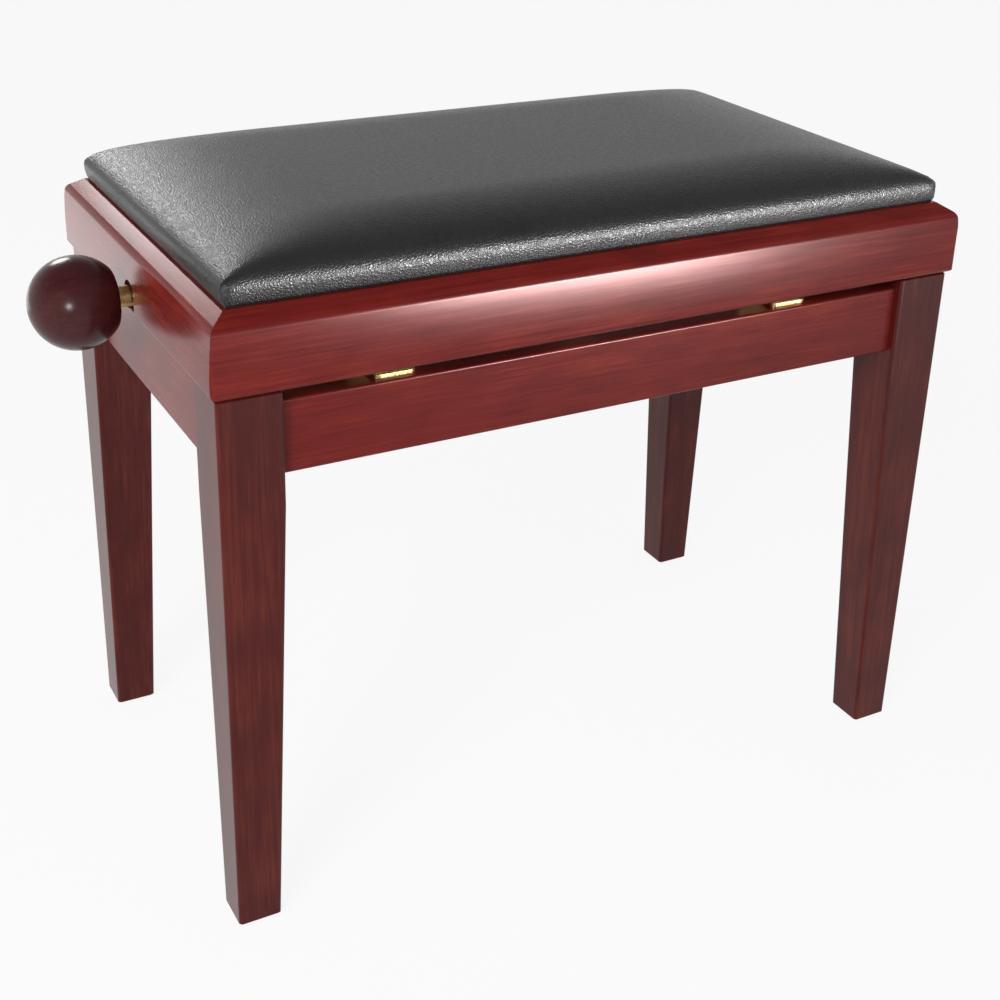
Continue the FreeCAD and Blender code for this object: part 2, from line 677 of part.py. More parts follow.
def outer_arm():
    """From the lower pivot at the knob's end up to the nut bar."""
    start = V(pivot_x, 0, lower_pivot_z)
    end = V(slide_low_x, 0, nut_z)
    centre = V(centre_x, 0, outer_centre_z)
    return arm(start, end, outer_arm_out, PIN_RADIUS + FIT, centre, RIVET_RADIUS + FIT, PIN_RADIUS + RUN)


def inner_arm():
    """From the bearing bar at the knob's end down to the sliding rod."""
    start = V(pivot_x, 0, spindle_z)
    end = V(slide_low_x, 0, slide_rod_z)
    centre = V(centre_x, 0, inner_centre_z)
    return arm(start, end, inner_arm_out, PIN_RADIUS + RUN, centre, RIVET_RADIUS + loose, PIN_RADIUS + FIT)


def cross_rod(x, z, shoulder):
    """A round rod from front to back, turned down at its ends."""
    thick = rod(V(x, -shoulder, z), Y_AXIS, ROD_RADIUS, 2 * shoulder)
    return thick.fuse(rod(V(x, -pin_end, z), Y_AXIS, PIN_RADIUS, 2 * pin_end)).removeSplitter()


def cross_bar(x, z, shoulder):
    """A square bar from front to back with round pins at its ends."""
    half = BAR_SIZE / 2
    square = box((x - half, x + half), (-shoulder, shoulder), (z - half, z + half))
    square = square.makeChamfer(BAR_CHAMFER, [edge for edge in square.Edges if runs_along(edge, Y_AXIS)])
    return square.fuse(rod(V(x, -pin_end, z), Y_AXIS, PIN_RADIUS, 2 * pin_end)).removeSplitter()


def pin_clips(x, z, gap):
    """Rings on the two ends of a pin, outside the brackets."""
    seat = web_outer + gap
    clip = ring(V(x, -seat, z), -Y_AXIS, CLIP_RADIUS, PIN_RADIUS + FIT, CLIP_THICKNESS)
    return both_sides(clip)


def pin_spacers(x, z, inside, outside):
    """Sleeves on the two ends of a pin that fill the outer arms' layer."""
    sleeve = ring(V(x, -inside, z), -Y_AXIS, SPACER_RADIUS, PIN_RADIUS + FIT, outside - inside)
    return both_sides(sleeve)


def centre_rivet():
    """A rivet that holds an outer and an inner arm together where they cross."""
    y_out = outer_arm_out
    y_in = inner_arm_in - SIDE_GAP
    at_out = V(centre_x, -y_out, outer_centre_z)
    at_in = V(centre_x, -y_in, outer_centre_z)
    shank = rod(at_out, Y_AXIS, RIVET_RADIUS, y_out - y_in)
    outer_head = Part.makeCone(RIVET_HEAD_RADIUS, RIVET_RADIUS, RIVET_HEAD, at_out, -Y_AXIS)
    inner_head = Part.makeCone(RIVET_HEAD_RADIUS, RIVET_RADIUS, RIVET_HEAD, at_in, Y_AXIS)
    return shank.fuse([outer_head, inner_head])


def centre_washer():
    seat = V(centre_x, -outer_arm_in, outer_centre_z)
    return ring(seat, Y_AXIS, RIVET_HEAD_RADIUS, RIVET_RADIUS + FIT, ARM_GAP - SIDE_GAP)


def bearing_bar():
    """The seat's fixed cross bar, bored for the bush that the spindle turns in."""
    bar = cross_bar(pivot_x, spindle_z, inner_arm_in - SIDE_GAP)
    return bar.cut(rod(V(pivot_x - BAR_SIZE, 0, spindle_z), X_AXIS, BUSH_RADIUS + FIT, 2 * BAR_SIZE))


def bearing_bush():
    start = V(bush_flange_x, 0, spindle_z)
    flange = rod(start, X_AXIS, BUSH_FLANGE_RADIUS, BUSH_FLANGE)
    sleeve = rod(start, X_AXIS, BUSH_RADIUS, BUSH_FLANGE + BAR_SIZE)
    return flange.fuse(sleeve).cut(rod(start, X_AXIS, SPINDLE_RADIUS + RUN, BUSH_FLANGE + BAR_SIZE))


def nut_bar():
    """The cross bar that the thread draws along, carried by the outer arms."""
    bar = cross_bar(slide_low_x, nut_z, outer_arm_in - SIDE_GAP)
    return bar.cut(rod(V(slide_low_x - BAR_SIZE, 0, nut_z), X_AXIS, nut_bore, 2 * BAR_SIZE))


# Spindle and knob


def on_axis(x):
    return V(x, 0, spindle_z)


def collar_pin_places():
    """Middles of the two collars, where their cross pins go."""
    return [on_axis(start + COLLAR_LENGTH / 2) for start in (thrust_collar_x, retaining_collar_x)]


def cross_pin(place, radius):
    return rod(place - Z_AXIS * COLLAR_RADIUS, Z_AXIS, radius, 2 * COLLAR_RADIUS)


def spindle():
    """Spigot for the knob, plain shaft, then the core of the thread."""
    lengths = (
        (knob_flat_x - KNOB_INSERT_LENGTH, knob_flat_x, SPIGOT_RADIUS),
        (knob_flat_x, thread_start, SPINDLE_RADIUS),
        (thread_start, spindle_end, thread_core),
    )
    stretches = [rod(on_axis(start), X_AXIS, radius, end - start) for start, end, radius in lengths]
    shaft = stretches[0].fuse(stretches[1:]).removeSplitter()
    return drilled(shaft, [cross_pin(place, COLLAR_PIN_RADIUS + FIT) for place in collar_pin_places()])


def collar(start, place):
    body = ring(on_axis(start), X_AXIS, COLLAR_RADIUS, SPINDLE_RADIUS + FIT, COLLAR_LENGTH)
    return body.cut(cross_pin(place, COLLAR_PIN_RADIUS + FIT))


def stop_nut():
    """Locked on the spindle's far end, so that the nut bar can't run off the thread."""
    nut = hexagon(on_axis(stop_nut_x), X_AXIS, STOP_NUT_ACROSS, STOP_NUT_HEIGHT)
    return nut.cut(rod(on_axis(stop_nut_x), X_AXIS, thread_core + FIT, STOP_NUT_HEIGHT))


def knob():
    """A turned ball with a flat towards the bench, bored for its threaded insert."""
    ball = Part.makeSphere(KNOB_RADIUS, on_axis(knob_x), X_AXIS)
    beyond = box(
        (knob_flat_x, knob_flat_x + KNOB_RADIUS), (-KNOB_RADIUS, KNOB_RADIUS),
        (spindle_z - KNOB_RADIUS, spindle_z + KNOB_RADIUS))

    def is_rim(edge):
        return edge.isClosed() and abs(middle(edge).x - knob_flat_x) < FIT

    ball = rounded(ball.cut(beyond), KNOB_EDGE_RADIUS, is_rim)
    return ball.cut(rod(on_axis(knob_flat_x), -X_AXIS, KNOB_INSERT_RADIUS + FIT, KNOB_INSERT_LENGTH + FIT))


def knob_insert():
    return ring(on_axis(knob_flat_x), -X_AXIS, KNOB_INSERT_RADIUS, SPIGOT_RADIUS + FIT, KNOB_INSERT_LENGTH)


def make_nodes():
    """Every node's name and shape, about the middle of the seat."""
    nodes = {}
    for corner in CORNERS:
        nodes["leg_" + corner] = at_corner(leg(), corner)
        nodes["corner_block_" + corner] = at_corner(corner_block(), corner)
    nodes["leg_glides"] = all_corners(glide())
    nodes["leg_bolts"] = all_corners(leg_bolt())
    nodes["bolt_nuts_and_washers"] = all_corners(Part.makeCompound(bolt_nut_and_washer()))
    nodes["apron_left"] = short_apron()
    nodes["apron_right"] = short_apron().mirror(V(0, 0, 0), X_AXIS)
    nodes["seat_rail_left"] = short_rail().cut(spindle_notch())
    nodes["seat_rail_right"] = short_rail().mirror(V(0, 0, 0), X_AXIS)
    for side in SIDES:
        nodes["apron_" + side] = at_side(long_apron(), side)
        nodes["seat_rail_" + side] = at_side(long_rail(), side)
        nodes["lower_pivot_bracket_" + side] = at_side(lower_pivot_bracket(), side)
        nodes["lower_slide_bracket_" + side] = at_side(lower_slide_bracket(), side)
        nodes["upper_pivot_bracket_" + side] = at_side(upper_pivot_bracket(), side)
        nodes["upper_slide_bracket_" + side] = at_side(upper_slide_bracket(), side)
        nodes["outer_arm_" + side] = at_side(outer_arm(), side)
        nodes["inner_arm_" + side] = at_side(inner_arm(), side)
    apron_screws = [wood_screw(seat, -Y_AXIS, APRON_SCREW_LENGTH) for seat in lower_screw_seats()]
    nodes["lower_bracket_screws"] = both_sides(Part.makeCompound(apron_screws))
    board_screws = [wood_screw(seat, Z_AXIS, BOARD_SCREW_LENGTH) for seat in upper_screw_seats()]
    nodes["upper_bracket_screws"] = both_sides(Part.makeCompound(board_screws))
    nodes["seat_screws"] = all_corners(wood_screw(*seat_screw_place()))
    nodes["seat_corner_blocks"] = all_corners(seat_block())
    nodes["seat_board"] = seat_board()
    nodes["seat_foam"] = seat_foam()
    nodes["seat_cover"] = seat_cover()
    nodes["bearing_bar"] = bearing_bar()
    nodes["bearing_bush"] = bearing_bush()
    nodes["bearing_spacers"] = pin_spacers(pivot_x, spindle_z, inner_arm_out + SIDE_GAP, web_inner)
    nodes["bearing_clips"] = pin_clips(pivot_x, spindle_z, 0)
    nodes["lower_pivot_rod"] = cross_rod(pivot_x, lower_pivot_z, outer_arm_in)
    nodes["pivot_rod_clips"] = pin_clips(pivot_x, lower_pivot_z, SIDE_GAP)
    nodes["centre_rivets"] = both_sides(centre_rivet())
    nodes["centre_washers"] = both_sides(centre_washer())
    nodes["lower_slide_rod"] = cross_rod(slide_low_x, slide_rod_z, inner_arm_in)
    nodes["slide_rod_spacers"] = pin_spacers(slide_low_x, slide_rod_z, inner_arm_out, web_inner - SIDE_GAP)
    nodes["slide_rod_clips"] = pin_clips(slide_low_x, slide_rod_z, SIDE_GAP)
    nodes["nut_bar"] = nut_bar()
    nodes["nut_bar_clips"] = pin_clips(slide_low_x, nut_z, SIDE_GAP)
    nodes["spindle"] = spindle()
    thrust_place, retaining_place = collar_pin_places()
    nodes["thrust_collar"] = collar(thrust_collar_x, thrust_place)
    nodes["retaining_collar"] = collar(retaining_collar_x, retaining_place)
    pins = [cross_pin(place, COLLAR_PIN_RADIUS) for place in collar_pin_places()]
    nodes["collar_pins"] = Part.makeCompound(pins)
    nodes["stop_nut"] = stop_nut()
    nodes["knob"] = knob()
    nodes["knob_insert"] = knob_insert()
    return nodes


os.makedirs("parts", exist_ok=True)
for name, shape in make_nodes().items():
    shape.translate(origin_shift)
    shape.exportStep("parts/" + name + ".step")

print("arm swing", round(math.degrees(arm_swing), 3), "degrees over a lift of", LIFT_HEIGHT, "mm")
print("nut travel", round(slide_travel, 3), "mm in", round(spindle_turns, 3), "turns of the knob")
print("wander of the sliding ends", round(wander, 3), "mm each way")
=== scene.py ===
import json
import math

import bmesh
import bpy
from mathutils import Matrix, Vector


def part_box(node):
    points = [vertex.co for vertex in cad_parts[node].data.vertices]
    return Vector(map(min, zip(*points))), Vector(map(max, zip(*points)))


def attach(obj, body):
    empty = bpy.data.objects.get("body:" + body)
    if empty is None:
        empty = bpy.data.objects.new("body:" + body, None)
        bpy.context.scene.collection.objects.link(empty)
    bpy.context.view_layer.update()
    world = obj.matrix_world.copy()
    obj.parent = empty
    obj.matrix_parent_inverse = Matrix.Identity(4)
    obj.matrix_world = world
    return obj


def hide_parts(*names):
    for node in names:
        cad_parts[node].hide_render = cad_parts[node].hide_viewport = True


# The piano bench's looks, in metres and in the model's own frame: X along the bench with the knob at -X,
# the front at -Y, the floor at z = 0.

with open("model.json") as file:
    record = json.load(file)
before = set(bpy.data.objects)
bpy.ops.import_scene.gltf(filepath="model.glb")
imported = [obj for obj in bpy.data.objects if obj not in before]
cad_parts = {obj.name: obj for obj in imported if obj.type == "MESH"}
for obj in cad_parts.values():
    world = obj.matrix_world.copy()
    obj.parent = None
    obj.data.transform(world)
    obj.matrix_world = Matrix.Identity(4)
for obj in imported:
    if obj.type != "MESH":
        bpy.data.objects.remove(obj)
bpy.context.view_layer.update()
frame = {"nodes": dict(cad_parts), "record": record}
nodes = frame["nodes"]
scene = bpy.context.scene
scene.view_settings.view_transform = "Standard"

MILLIMETRE = 0.001
UP = Vector((0, 0, 1))


# Material nodes

class Graph:
    """One material's nodes, added and joined in order."""

    def __init__(self, name):
        self.material = bpy.data.materials.new(name)
        self.material.use_nodes = True
        self.tree = self.material.node_tree
        self.tree.nodes.clear()

    def add(self, kind, inputs=None, **settings):
        node = self.tree.nodes.new("ShaderNode" + kind)
        for key, value in settings.items():
            setattr(node, key, value)
        for key, value in (inputs or {}).items():
            self.put(node.inputs[key], value)
        return node

    def put(self, socket, value):
        if isinstance(value, bpy.types.NodeSocket):
            self.tree.links.new(value, socket)
        else:
            socket.default_value = value

    def math(self, operation, first, second):
        return self.add("Math", {0: first, 1: second}, operation=operation).outputs[0]

    def mix(self, factor, first, second):
        node = self.add("Mix", {0: factor, 6: first, 7: second}, data_type="RGBA")
        return node.outputs[2]

    def ramp(self, factor, stops):
        node = self.add("ValToRGB", {"Fac": factor})
        elements = node.color_ramp.elements
        elements[0].position, elements[0].color = stops[0][0], (*stops[0][1], 1)
        elements[1].position, elements[1].color = stops[-1][0], (*stops[-1][1], 1)
        for place, colour in stops[1:-1]:
            elements.new(place).color = (*colour, 1)
        return node.outputs["Color"]

    def stretch(self, value, low, high, to_low=0.0, to_high=1.0):
        inputs = {"Value": value, "From Min": low, "From Max": high, "To Min": to_low, "To Max": to_high}
        return self.add("MapRange", inputs).outputs["Result"]

    def noise(self, vector, scale=1.0, detail=3.0, roughness=0.55, distortion=0.0):
        inputs = {"Vector": vector, "Scale": scale, "Detail": detail, "Roughness": roughness}
        return self.add("TexNoise", {**inputs, "Distortion": distortion}).outputs["Fac"]

    def coordinates(self, scale=(1, 1, 1), offset=(0, 0, 0)):
        place = self.add("TexCoord").outputs["Object"]
        return self.add("Mapping", {"Vector": place, "Location": offset, "Scale": scale}).outputs["Vector"]

    def bump(self, height, distance, strength=1.0):
        inputs = {"Height": height, "Distance": distance, "Strength": strength}
        return self.add("Bump", inputs).outputs["Normal"]

    def surface(self, **inputs):
        """Ends the material with a principled shader; names use _ for spaces."""
        shader = self.add("BsdfPrincipled", {key.replace("_", " "): value for key, value in inputs.items()})
        output = self.add("OutputMaterial")
        self.tree.links.new(shader.outputs[0], output.inputs["Surface"])
        return self.material


def along(axis, lengthwise, crosswise):
    """A pattern's scale along one axis and across it."""
    scale = [crosswise] * 3
    scale["xyz".index(axis)] = lengthwise
    return scale


LACQUER_ROUGHNESS = 0.22
LACQUER_UNEVENNESS = 0.015
LACQUER_SHINE = 0.18


def wood(name, axis, seed, stops, tint, shine=LACQUER_SHINE, pores=0.3):
    """Stained and lacquered wood with straight fine grain along one axis and a faint mottled figure."""
    g = Graph(name)
    offset = (0.37 * seed, 0.53 * seed, 0.71 * seed)
    bands = g.noise(g.coordinates(along(axis, 2.5, 40.0), offset), detail=2, distortion=0.6)
    fibres = g.noise(g.coordinates(along(axis, 16.0, 520.0), offset), detail=3, roughness=0.6)
    mottle = g.noise(g.coordinates(along(axis, 26.0, 60.0), offset), detail=2, roughness=0.4)
    specks = g.noise(g.coordinates(along(axis, 45.0, 1500.0), offset), detail=2)
    tone = g.math("MULTIPLY", bands, 0.34)
    tone = g.math("ADD", tone, g.math("MULTIPLY", fibres, 0.40))
    tone = g.math("ADD", tone, g.math("MULTIPLY", mottle, 0.26))
    colour = g.ramp(tone, stops)
    pore = g.stretch(specks, 0.58, 0.74)
    dark = tuple(0.35 * value for value in stops[0][1])
    colour = g.mix(g.math("MULTIPLY", pore, pores), colour, (*dark, 1))
    height = g.math("SUBTRACT", fibres, g.math("MULTIPLY", pore, 0.6))
    smoothest = LACQUER_ROUGHNESS - LACQUER_UNEVENNESS
    roughest = LACQUER_ROUGHNESS + LACQUER_UNEVENNESS
    return g.surface(
        Base_Color=colour,
        Roughness=g.stretch(fibres, 0.2, 0.8, smoothest, roughest),
        Specular_IOR_Level=shine,
        Specular_Tint=(*tint, 1),
        Normal=g.bump(height, 0.006 * MILLIMETRE, 0.3),
    )


def metal(name, colour, tint, roughness):
    """Plated metal: patches of a second tint and a fine uneven polish."""
    g = Graph(name)
    patches = g.noise(g.coordinates((45, 45, 45)), detail=3, distortion=0.6)
    grain = g.noise(g.coordinates((900, 900, 900)), detail=2)
    shade = g.mix(g.stretch(patches, 0.35, 0.65), (*colour, 1), (*tint, 1))
    return g.surface(
        Base_Color=shade,
        Metallic=1.0,
        Roughness=g.stretch(grain, 0.3, 0.7, roughness - 0.06, roughness + 0.08),
        Normal=g.bump(grain, 0.006 * MILLIMETRE, 0.4),
    )


def leatherette():
    """Black coated fabric with a fine pebbled grain."""
    g = Graph("leatherette")
    place = g.coordinates()
    cells = g.add("TexVoronoi", {"Vector": place, "Scale": 560.0}, feature="DISTANCE_TO_EDGE")
    pebbles = cells.outputs["Distance"]
    crumple = g.noise(place, 420.0, 3, 0.6)
    broad = g.noise(place, 26.0, 3, 0.55)
    height = g.math("ADD", g.stretch(pebbles, 0.0, 0.35), g.math("MULTIPLY", crumple, 0.9))
    colour = g.mix(broad, (0.012, 0.012, 0.013, 1), (0.021, 0.021, 0.022, 1))
    return g.surface(
        Base_Color=colour,
        Roughness=g.stretch(crumple, 0.3, 0.7, 0.33, 0.46),
        Specular_IOR_Level=0.36,
        Sheen_Weight=0.05,
        Sheen_Roughness=0.4,
        Normal=g.bump(height, 0.2 * MILLIMETRE, 0.7),
    )


def raw_wood(name, axis, stops):
    """Planed wood with no finish: bands, fibres and small flecks."""
    g = Graph(name)
    bands = g.noise(g.coordinates(along(axis, 3.0, 90.0)), detail=4, distortion=0.4)
    fibres = g.noise(g.coordinates(along(axis, 25.0, 1100.0)), detail=3)
    flecks = g.noise(g.coordinates(along(axis, 180.0, 900.0)), detail=1)
    tone = g.math("ADD", g.math("MULTIPLY", bands, 0.6), g.math("MULTIPLY", fibres, 0.4))
    colour = g.mix(g.stretch(flecks, 0.62, 0.72, 0, 0.45), g.ramp(tone, stops), (*stops[0][1], 1))
    return g.surface(
        Base_Color=colour,
        Roughness=0.72,
        Specular_IOR_Level=0.25,
        Normal=g.bump(fibres, 0.06 * MILLIMETRE, 0.7),
    )


def black_paint():
    """Satin black paint with a faint orange peel and a little dust."""
    g = Graph("black_paint")
    peel = g.noise(g.coordinates((420, 420, 420)), detail=2)
    dust = g.noise(g.coordinates((60, 60, 60)), detail=4)
    colour = g.mix(g.stretch(dust, 0.4, 0.75), (0.012, 0.012, 0.013, 1), (0.028, 0.027, 0.027, 1))
    return g.surface(
        Base_Color=colour,
        Roughness=g.stretch(dust, 0.3, 0.7, 0.36, 0.5),
        Specular_IOR_Level=0.4,
        Normal=g.bump(peel, 0.03 * MILLIMETRE, 0.5),
    )


def moulded_plastic():
    """Dark plastic with a fine grain and scuffs."""
    g = Graph("glide_plastic")
    grain = g.noise(g.coordinates((1200, 1200, 1200)), detail=2)
    scuffs = g.noise(g.coordinates((160, 160, 160)), detail=4)
    colour = g.mix(g.stretch(scuffs, 0.45, 0.7), (0.018, 0.014, 0.012, 1), (0.045, 0.038, 0.033, 1))
    return g.surface(
        Base_Color=colour,
        Roughness=g.stretch(scuffs, 0.3, 0.7, 0.45, 0.65),
        Normal=g.bump(grain, 0.03 * MILLIMETRE, 0.5),
    )


MAHOGANY = ((0.28, (0.078, 0.007, 0.007)), (0.5, (0.160, 0.014, 0.011)), (0.72, (0.275, 0.032, 0.019)))
LEG_MAHOGANY = ((0.28, (0.036, 0.004, 0.003)), (0.5, (0.078, 0.008, 0.006)), (0.72, (0.150, 0.024, 0.013)))
KNOB_WOOD = ((0.28, (0.030, 0.006, 0.007)), (0.5, (0.052, 0.011, 0.012)), (0.72, (0.080, 0.020, 0.018)))
BEECH = ((0.3, (0.36, 0.22, 0.12)), (0.5, (0.47, 0.31, 0.18)), (0.7, (0.56, 0.40, 0.25)))
PLYWOOD = ((0.3, (0.42, 0.29, 0.17)), (0.5, (0.53, 0.39, 0.24)), (0.7, (0.62, 0.48, 0.32)))
YELLOW_ZINC = ((0.62, 0.44, 0.17), (0.52, 0.45, 0.22))
BRIGHT_ZINC = ((0.62, 0.62, 0.63), (0.52, 0.53, 0.56))
BRONZE = ((0.56, 0.36, 0.15), (0.46, 0.30, 0.14))

# The fibres of the rails and aprons tint the gloss of their lacquer
FIBRE_TINT = (1.0, 0.62, 0.60)
PLAIN_TINT = (1.0, 1.0, 1.0)
WOOD_AXES = {"front": "x", "back": "x", "left": "y", "right": "y"}
slot_materials = {
    "knob_wood": wood("knob_wood", "x", 3, KNOB_WOOD, PLAIN_TINT, shine=0.2, pores=0.05),
    "block_wood": raw_wood("block_wood", "x", BEECH),
    "plywood": raw_wood("plywood", "x", PLYWOOD),
    "leatherette": leatherette(),
    "yellow_zinc": metal("yellow_zinc", *YELLOW_ZINC, 0.28),
    "black_steel": black_paint(),
    "steel": metal("steel", *BRIGHT_ZINC, 0.30),
    "bronze": metal("bronze", *BRONZE, 0.34),
    "glide_plastic": moulded_plastic(),
}


def paint(piece, material):
    piece.data.materials.clear()
    piece.data.materials.append(material)


for count, entry in enumerate(frame["record"]["subparts"]):
    name, slot = entry["node"], entry["material_slot"]
    if slot == "mahogany":
        is_leg = name.startswith("leg_")
        axis = "z" if is_leg else WOOD_AXES[name.rsplit("_", 1)[1]]
        look = (LEG_MAHOGANY, PLAIN_TINT) if is_leg else (MAHOGANY, FIBRE_TINT)
        paint(nodes[name], wood("mahogany_" + name, axis, count + 1, *look))
    elif slot in slot_materials:
        paint(nodes[name], slot_materials[slot])


# Pieces made here

def new_piece(name, mesh, body, slot):
    """A smooth-shaded piece that rides on a body."""
    mesh.name = name
    piece = bpy.data.objects.new(name, mesh)
    scene.collection.objects.link(piece)
    paint(piece, slot_materials[slot])
    mesh.shade_smooth()
    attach(piece, body)
    return piece


def mesh_from(points, faces):
    mesh = bpy.data.meshes.new("shape")
    mesh.from_pydata(points, [], faces)
    mesh.update()
    return mesh


def solid_from(points, faces):
    """A closed mesh with its faces turned outwards."""
    mesh = mesh_from(points, faces)
    shape = bmesh.new()
    shape.from_mesh(mesh)
    bmesh.ops.recalc_face_normals(shape, faces=shape.faces)
    shape.to_mesh(mesh)
    shape.free()
    return mesh


def band(upper, lower):
    """Faces between two rings of point numbers."""
    count = len(upper)
    return [(upper[k], lower[k], lower[(k + 1) % count], upper[(k + 1) % count]) for k in range(count)]


# Padded seat: a skin over the crown and down the sides, stretched by a cloth simulation, then closed with a
# hem under the board's edge and a flat bottom on the board

cover_low, cover_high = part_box("seat_cover")
board_low, board_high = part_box("seat_board")
seat_centre = (cover_low + cover_high) / 2
pad_half_x = (cover_high.x - cover_low.x) / 2
pad_half_y = (cover_high.y - cover_low.y) / 2
PAD_SIDE = 11 * MILLIMETRE
PAD_RUN_X = 124 * MILLIMETRE
PAD_RUN_Y = 62 * MILLIMETRE
PAD_CORNER = 4 * MILLIMETRE
PAD_TUCK = 2.5 * MILLIMETRE
PAD_START_LOWER = 3 * MILLIMETRE
PAD_HIP = 5.0
PAD_STEPS = 15
PAD_FLAT_STEP = 7 * MILLIMETRE
PAD_SIDE_ROWS = 6
TUCK_DEPTH = 1.1 * MILLIMETRE
TUCK_WIDTH = 1.2 * MILLIMETRE
TUCK_LENGTH = 8 * MILLIMETRE
TUCK_RIDGE = 0.45
TUCK_RIDGE_PLACE = 2.0
TUCK_LEVEL = 0.55
TUCK_RISE = 0.63
CLOTH_FRAMES = 20
CLOTH_CAP = 6 * MILLIMETRE
HEM = 20 * MILLIMETRE
SKIN_GAP = 0.1 * MILLIMETRE


def stations(half, run):
    """Places across the pad: close together where the crown is steep, even where it is flat."""
    curve = [half - run * (1 - math.cos(step / PAD_STEPS * math.pi / 2)) for step in range(PAD_STEPS + 1)]
    flat = 2 * (half - run)
    count = max(2, round(flat / PAD_FLAT_STEP))
    inner = [-flat / 2 + flat * step / count for step in range(1, count)]
    return [-place for place in curve] + inner + curve[::-1]


def crown(inset, run):
    """Height of a rounded slope, from 0 at its foot to 1 where it is level."""
    return math.sqrt(max(0.0, 1 - max(0.0, 1 - inset / run) ** 2))


def pad_point(x, y):
    """A point of the crown before it is stretched."""
    inset_x, inset_y = pad_half_x - abs(x), pad_half_y - abs(y)
    rise = cover_high.z - PAD_START_LOWER - cover_low.z - PAD_SIDE
    across, over = crown(inset_x, PAD_RUN_X), crown(inset_y, PAD_RUN_Y)
    height = 0.0
    if min(across, over) > 0:
        spread = across ** PAD_HIP + over ** PAD_HIP - (across * over) ** PAD_HIP
        height = across * over / spread ** (1 / PAD_HIP)
    corner_x, corner_y = PAD_CORNER - inset_x, PAD_CORNER - inset_y
    if corner_x > 0 and corner_y > 0:
        share = max(corner_x, corner_y) / math.hypot(corner_x, corner_y)
        x = math.copysign(pad_half_x - PAD_CORNER + corner_x * share, x)
        y = math.copysign(pad_half_y - PAD_CORNER + corner_y * share, y)
    return Vector((seat_centre.x + x, seat_centre.y + y, cover_low.z + PAD_SIDE + rise * height))


def drawn_in(point, distance, z):
    """A rim point moved towards the middle on both axes where it lies on an edge, at another height."""
    offset = point - seat_centre
    x = math.copysign(min(abs(offset.x), pad_half_x - distance), offset.x)
    y = math.copysign(min(abs(offset.y), pad_half_y - distance), offset.y)
    return Vector((seat_centre.x + x, seat_centre.y + y, z))


def pad_skin():
    """Points and faces of the skin, its rim as point numbers, and how firmly each point is held."""
    xs, ys = stations(pad_half_x, PAD_RUN_X), stations(pad_half_y, PAD_RUN_Y)
    columns, rows = len(xs), len(ys)
    points = [pad_point(x, y) for y in ys for x in xs]
    faces = []
    for j in range(rows - 1):
        for i in range(columns - 1):
            at = j * columns + i
            faces.append((at, at + 1, at + columns + 1, at + columns))
    rim = list(range(columns))
    rim += [j * columns + columns - 1 for j in range(1, rows)]
    rim += [(rows - 1) * columns + i for i in range(columns - 2, -1, -1)]
    rim += [j * columns for j in range(rows - 2, 0, -1)]
    held = [0.0] * len(points)
    upper = rim
    for row in range(1, PAD_SIDE_ROWS + 1):
        share = row / PAD_SIDE_ROWS
        z = cover_low.z + SKIN_GAP + (PAD_SIDE - SKIN_GAP) * (1 - share)
        lower = []
        for at in rim:
            lower.append(len(points))
            points.append(drawn_in(points[at], PAD_TUCK * share ** 2, z))
            held.append(share ** 2)
        faces += band(upper, lower)
        upper = lower
    return points, faces, upper, held


def stretched_skin(points, faces, held):
    """The skin after the cover is stretched over the swelling pad."""
    mesh = mesh_from(points, faces)
    trial = bpy.data.objects.new("pad_trial", mesh)
    scene.collection.objects.link(trial)
    group = trial.vertex_groups.new(name="held")
    for index, weight in enumerate(held):
        group.add([index], weight, "REPLACE")
    cloth = trial.modifiers.new("cloth", "CLOTH")
    settings = cloth.settings
    settings.vertex_group_mass = group.name
    settings.use_pressure = True
    settings.uniform_pressure_force = 4.0
    settings.effector_weights.gravity = 0.0
    settings.mass = 0.3
    settings.quality = 6
    settings.tension_stiffness = 40.0
    settings.compression_stiffness = 40.0
    settings.shear_stiffness = 20.0
    settings.bending_stiffness = 2.0
    cloth.point_cache.frame_end = CLOTH_FRAMES
    for step in range(1, CLOTH_FRAMES + 1):
        scene.frame_set(step)
    shown = trial.evaluated_get(bpy.context.evaluated_depsgraph_get())
    moved = [vertex.co.copy() for vertex in shown.data.vertices]
    scene.frame_set(1)
    bpy.data.objects.remove(trial)
    result = []
    for start, end in zip(points, moved):
        step = end - start
        if step.length > CLOTH_CAP:
            step *= CLOTH_CAP / step.length
        result.append(start + step)
    return result


def tucked(points):
    """The skin with a pinched fold at each corner, where the cover's spare cloth is folded under."""
    result = []
    hip = math.hypot(PAD_RUN_X, PAD_RUN_Y)
    for point in points:
        offset = point - seat_centre
        inset_x, inset_y = pad_half_x - abs(offset.x), pad_half_y - abs(offset.y)
        across = (inset_x * PAD_RUN_Y - inset_y * PAD_RUN_X) / hip / TUCK_WIDTH
        inward = (inset_x * PAD_RUN_X + inset_y * PAD_RUN_Y) / hip / TUCK_LENGTH
        fade = math.exp(-inward * inward)
        ridges = math.exp(-(abs(across) - TUCK_RIDGE_PLACE) ** 2)
        groove = math.exp(-across * across) - TUCK_RIDGE * ridges
        out = Vector((math.copysign(TUCK_LEVEL, offset.x), math.copysign(TUCK_LEVEL, offset.y), TUCK_RISE))
        hold = min(1.0, max(0.0, (point.z - cover_low.z) / PAD_SIDE))
        result.append(point - out * (TUCK_DEPTH * groove * fade * hold))
    return result


